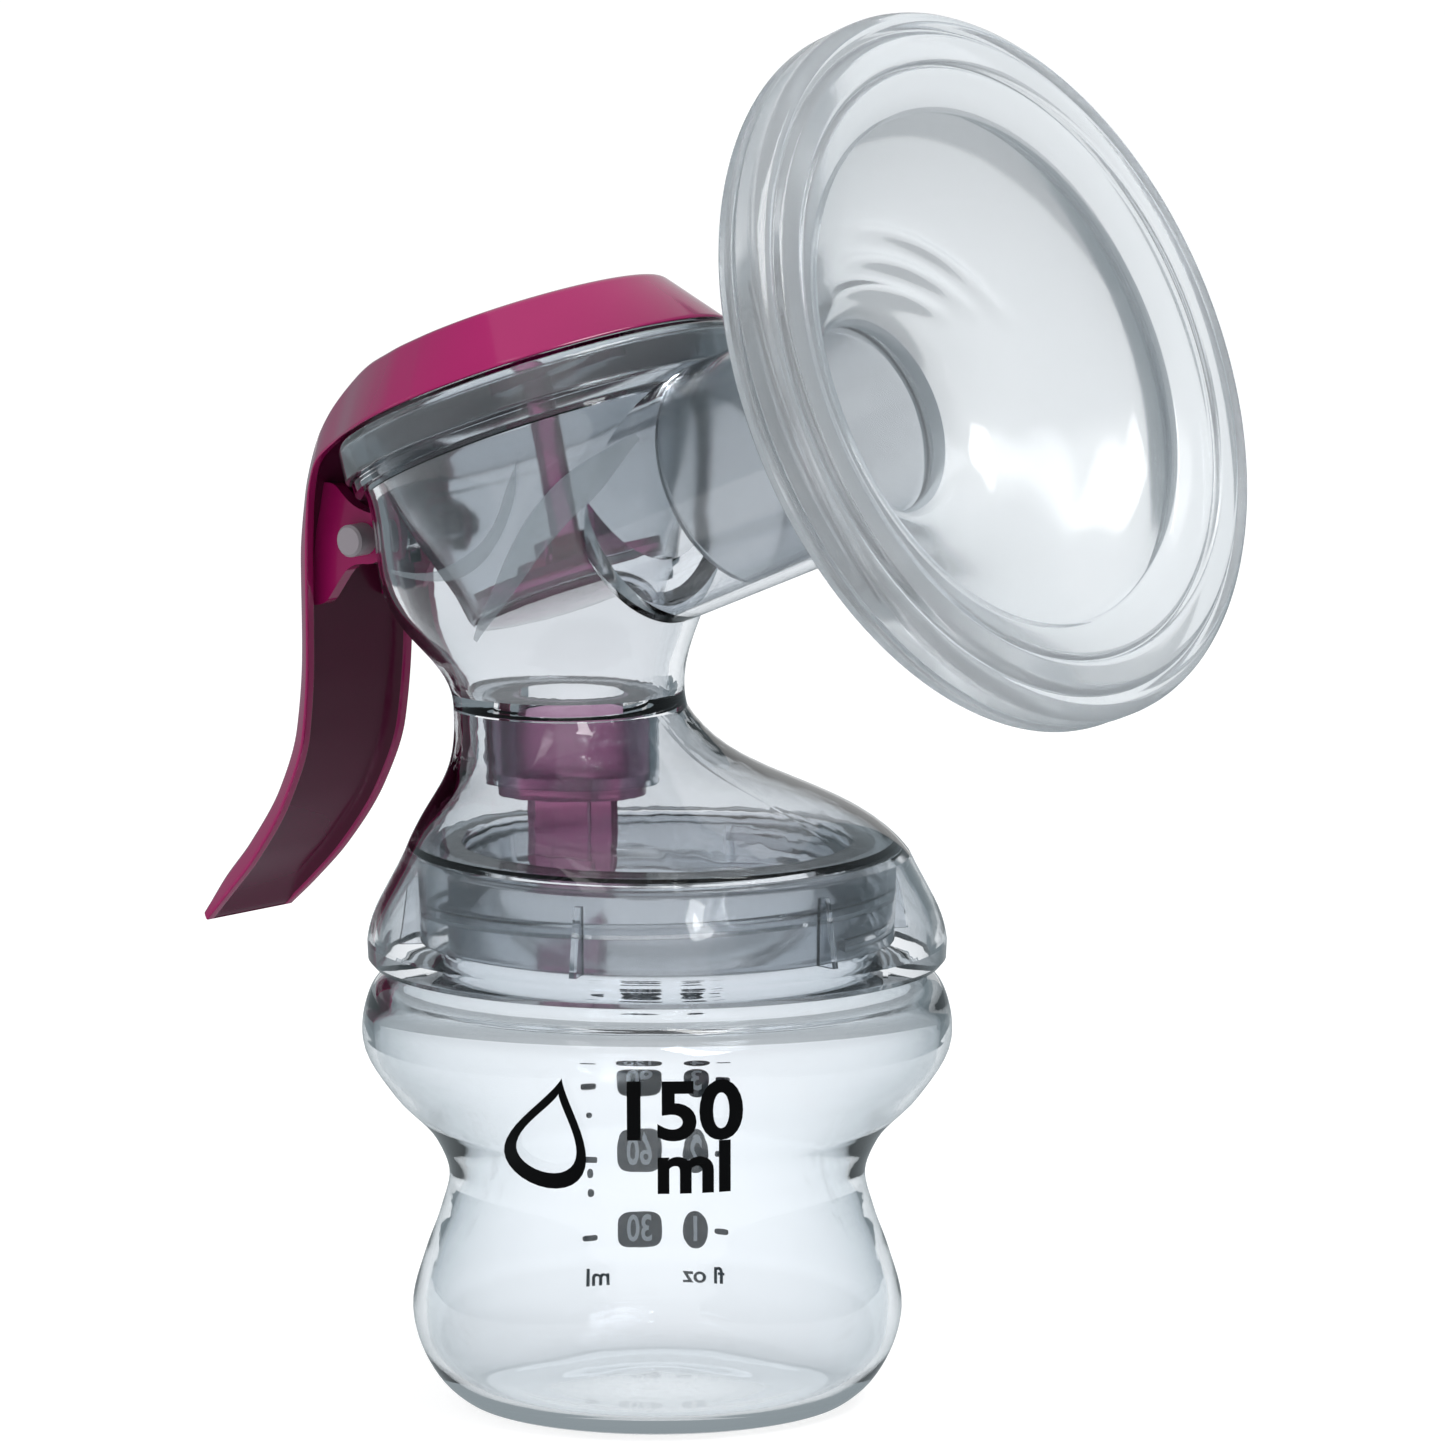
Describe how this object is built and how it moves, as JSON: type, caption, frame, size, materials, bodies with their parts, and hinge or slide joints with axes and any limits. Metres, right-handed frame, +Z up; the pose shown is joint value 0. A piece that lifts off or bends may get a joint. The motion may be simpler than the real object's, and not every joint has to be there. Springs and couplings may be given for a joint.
{
  "type": "breast pump",
  "caption": "Hand-operated breast pump: squeezing the lever lifts a silicone diaphragm above a funnel cup; milk drains through a duckbill valve into a screw-on bottle.",
  "frame": {"origin": "centre of the bottle's flat foot", "axes": "+Z up, +X towards the funnel cup, handle at -X"},
  "size_m": [0.1358, 0.088, 0.1718],
  "materials": {
    "clear_bottle": "clear glossy polypropylene",
    "clear_body": "clear glossy moulding",
    "clear_silicone": "translucent silicone, satin gloss",
    "magenta_gloss": "glossy magenta",
    "pink_part": "translucent pink moulding",
    "pink_silicone": "translucent pink silicone",
    "natural_pin": "natural translucent nylon"
  },
  "bodies": {
    "bottle": {"bottle": "clear_bottle"},
    "seal": {"neck_seal": "clear_silicone"},
    "pump_head": {"pump_body": "clear_body", "pivot_pin": "natural_pin", "diaphragm_cuff": "clear_silicone", "diaphragm": "clear_silicone", "valve_body": "pink_silicone"},
    "cup": {"silicone_cup": "clear_silicone"},
    "lever": {"handle": "magenta_gloss"},
    "stem": {"drive_stem": "pink_part", "diaphragm_plate": "pink_part"},
    "lip_left": {"valve_lip_left": "pink_silicone"},
    "lip_right": {"valve_lip_right": "pink_silicone"}
  },
  "joints": [
    {"name": "neck_lift", "type": "slide", "parent": "bottle", "child": "seal", "axis": [0, 0, 1], "range_m": [0, 0.0056]},
    {"name": "head_unscrew", "type": "hinge", "parent": "seal", "child": "pump_head", "pos_m": [0, 0, 0.067], "axis": [0, 0, 1], "range_deg": [0, 468]},
    {"name": "cup_pull", "type": "slide", "parent": "pump_head", "child": "cup", "axis": [0.9272, 0, 0.3746], "range_m": [0, 0.03]},
    {"name": "handle_squeeze", "type": "hinge", "parent": "pump_head", "child": "lever", "pos_m": [-0.04, 0, 0.1036], "axis": [0, -1, 0], "range_deg": [0, 20], "stiffness_Nm_per_rad": 0.35},
    {"name": "diaphragm_lift", "type": "slide", "parent": "pump_head", "child": "stem", "axis": [-0.3746, 0, 0.9272], "range_m": [0, 0.0112], "deforming": ["diaphragm"]},
    {"name": "lip_left_open", "type": "hinge", "parent": "pump_head", "child": "lip_left", "pos_m": [-0.0135, 0.00275, 0.0646], "axis": [1, 0, 0], "range_deg": [0, 5], "stiffness_Nm_per_rad": 0.0004},
    {"name": "lip_right_open", "type": "hinge", "parent": "pump_head", "child": "lip_right", "pos_m": [-0.0135, -0.00275, 0.0646], "axis": [-1, 0, 0], "range_deg": [0, 5], "stiffness_Nm_per_rad": 0.0004}
  ],
  "couplings": [
    {"joint": "neck_lift", "follows": "head_unscrew", "m_per_rad": 0.0006366},
    {"joint": "diaphragm_lift", "follows": "handle_squeeze", "m_per_rad": 0.0316},
    {"joint": "lip_right_open", "follows": "lip_left_open", "ratio": 1}
  ]
}
